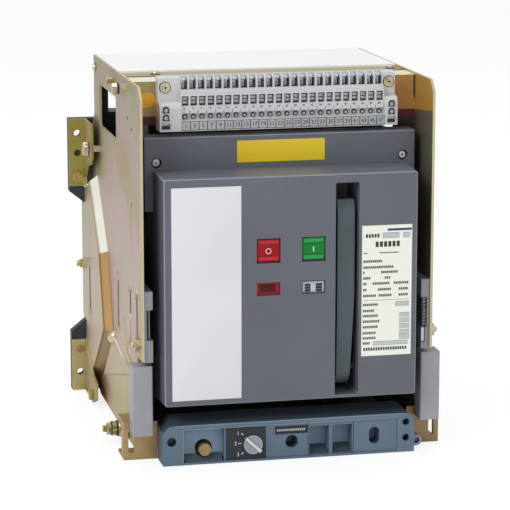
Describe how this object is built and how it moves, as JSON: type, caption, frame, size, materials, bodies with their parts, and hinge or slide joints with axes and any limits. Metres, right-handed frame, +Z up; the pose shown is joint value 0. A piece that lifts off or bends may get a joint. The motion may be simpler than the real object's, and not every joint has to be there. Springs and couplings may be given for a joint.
{
  "type": "draw-out air circuit breaker",
  "caption": "Low-voltage air circuit breaker in a draw-out cradle: grey mask with charging lever and push buttons, zinc side plates, racking base with dial and rear bar terminals.",
  "frame": {"origin": "centre of the footprint on the floor, under the middle of the bounding box", "axes": "+Z up, +Y from the front mask to the rear terminals, +X to the operator's right"},
  "size_m": [0.4, 0.421, 0.4366],
  "materials": {
    "zinc_steel": "yellow-passivated zinc plate on folded steel",
    "yellow_zinc": "strong yellow chromate on steel",
    "grey_moulding": "fine moulded texture",
    "light_moulding": "satin",
    "white_panel": "smooth white coat",
    "red_laminate": "phenolic laminate",
    "pale_moulding": "satin",
    "slate_moulding": "fine moulded texture",
    "black_moulding": "moulded insulating compound",
    "copper": "bare bar",
    "brass": "turned rod",
    "dial_grey": "satin",
    "red_plastic": "gloss",
    "green_plastic": "gloss",
    "yellow_label": "film",
    "handle_black": "satin"
  },
  "bodies": {
    "cradle": {"cover_angle": "zinc_steel", "crank_strip": "black_moulding", "dial_plate": "black_moulding", "drive_rod": "brass", "end_block_left": "light_moulding", "end_block_right": "light_moulding", "floor_tray": "zinc_steel", "foot_left": "zinc_steel", "foot_right": "zinc_steel", "guide_rail_left": "zinc_steel", "guide_rail_right": "zinc_steel", "insulating_board": "red_laminate", "lower_bracket_left": "yellow_zinc", "lower_bracket_right": "yellow_zinc", "lower_terminals": "copper", "racking_base": "slate_moulding", "rear_base": "black_moulding", "side_bolts_left": "zinc_steel", "side_bolts_right": "zinc_steel", "side_plate_left": "zinc_steel", "side_plate_right": "zinc_steel", "terminal_strip": "pale_moulding", "top_cover": "white_panel", "top_crossbeam": "yellow_zinc", "upper_bracket_left": "yellow_zinc", "upper_bracket_right": "yellow_zinc", "upper_terminals": "copper"},
    "breaker": {"arc_chutes": "black_moulding", "blank_panel": "white_panel", "breaker_housing": "black_moulding", "charge_indicator": "red_plastic", "contact_clusters": "copper", "front_mask": "grey_moulding", "mask_screws": "zinc_steel", "nameplate": "white_panel", "rail_lug_left": "black_moulding", "rail_lug_right": "black_moulding", "state_indicator": "dial_grey", "warning_label": "yellow_label"},
    "dial": {"position_dial": "dial_grey"},
    "handle": {"charging_handle": "handle_black"},
    "off_key": {"off_button": "red_plastic"},
    "on_key": {"on_button": "green_plastic"}
  },
  "joints": [
    {"name": "racking", "type": "slide", "parent": "cradle", "child": "breaker", "axis": [0, -1, 0], "range_m": [0, 0.05]},
    {"name": "dial_turn", "type": "hinge", "parent": "cradle", "child": "dial", "pos_m": [-0.0435, -0.2034, 0.0199], "axis": [0, -1, 0], "range_deg": [0, 90]},
    {"name": "charging", "type": "hinge", "parent": "breaker", "child": "handle", "pos_m": [0.0644, -0.1825, 0.102], "axis": [1, 0, 0], "range_deg": [0, 75], "stiffness_Nm_per_rad": 2},
    {"name": "off_press", "type": "slide", "parent": "breaker", "child": "off_key", "axis": [0, 1, 0], "range_m": [0, 0.004], "stiffness_N_per_m": 500},
    {"name": "on_press", "type": "slide", "parent": "breaker", "child": "on_key", "axis": [0, 1, 0], "range_m": [0, 0.004], "stiffness_N_per_m": 500}
  ],
  "couplings": [
    {"joint": "dial_turn", "follows": "racking", "rad_per_m": 31.416}
  ]
}
